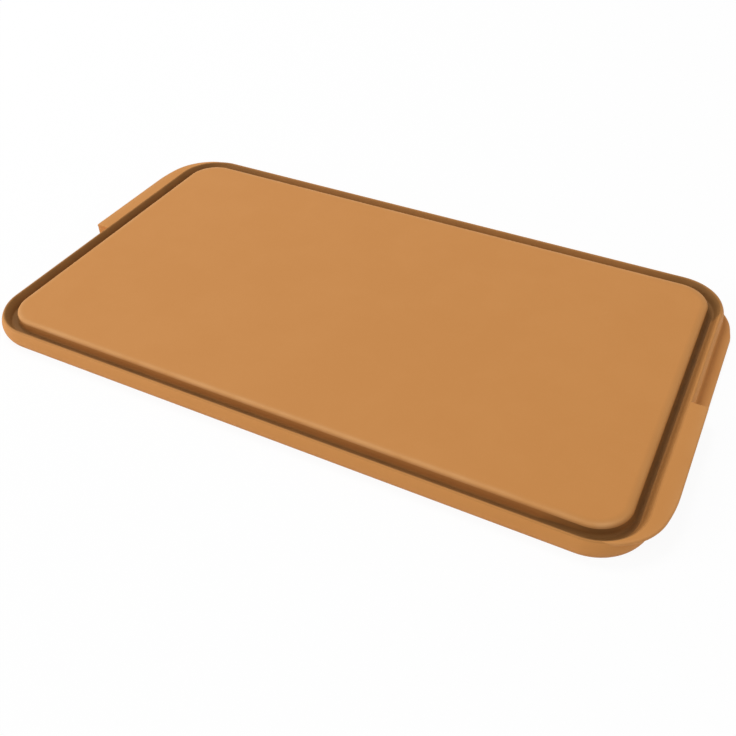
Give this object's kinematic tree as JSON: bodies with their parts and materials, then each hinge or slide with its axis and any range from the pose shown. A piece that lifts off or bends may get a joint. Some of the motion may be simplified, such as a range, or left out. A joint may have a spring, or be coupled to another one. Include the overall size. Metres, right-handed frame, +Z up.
{
  "type": "reversible griddle",
  "caption": "Rectangular two-burner griddle with a flat cooking plate, a grease channel inside a low rim, stepped finger grips at both ends and a ribbed grill face underneath.",
  "frame": {"origin": "centre of the rim's bottom land, on the surface that the griddle stands on", "axes": "+X along the long side towards the right end, -Y is the front, +Z up out of the flat cooking plate"},
  "size_m": [0.4796, 0.2724, 0.0143],
  "materials": {
    "ceramic_coat": "satin copper-coloured ceramic non-stick coat on cast aluminium"
  },
  "bodies": {
    "root": {"griddle_plate": "ceramic_coat", "grease_channel": "ceramic_coat", "rim_wall": "ceramic_coat", "right_front_grip": "ceramic_coat", "left_rear_grip": "ceramic_coat", "right_rear_grip": "ceramic_coat", "left_front_grip": "ceramic_coat", "right_grip_step": "ceramic_coat", "left_grip_step": "ceramic_coat", "grill_rib_01": "ceramic_coat", "grill_rib_02": "ceramic_coat", "grill_rib_03": "ceramic_coat", "grill_rib_04": "ceramic_coat", "grill_rib_05": "ceramic_coat", "grill_rib_06": "ceramic_coat", "grill_rib_07": "ceramic_coat", "grill_rib_08": "ceramic_coat", "grill_rib_09": "ceramic_coat", "grill_rib_10": "ceramic_coat", "grill_rib_11": "ceramic_coat", "grill_rib_12": "ceramic_coat", "grill_rib_13": "ceramic_coat", "grill_rib_14": "ceramic_coat", "grill_rib_15": "ceramic_coat", "grill_rib_16": "ceramic_coat", "grill_rib_17": "ceramic_coat", "grill_rib_18": "ceramic_coat", "grill_rib_19": "ceramic_coat", "grill_rib_20": "ceramic_coat", "grill_rib_21": "ceramic_coat", "grill_rib_22": "ceramic_coat", "grill_rib_23": "ceramic_coat", "grill_rib_24": "ceramic_coat", "grill_rib_25": "ceramic_coat"}
  },
  "joints": []
}
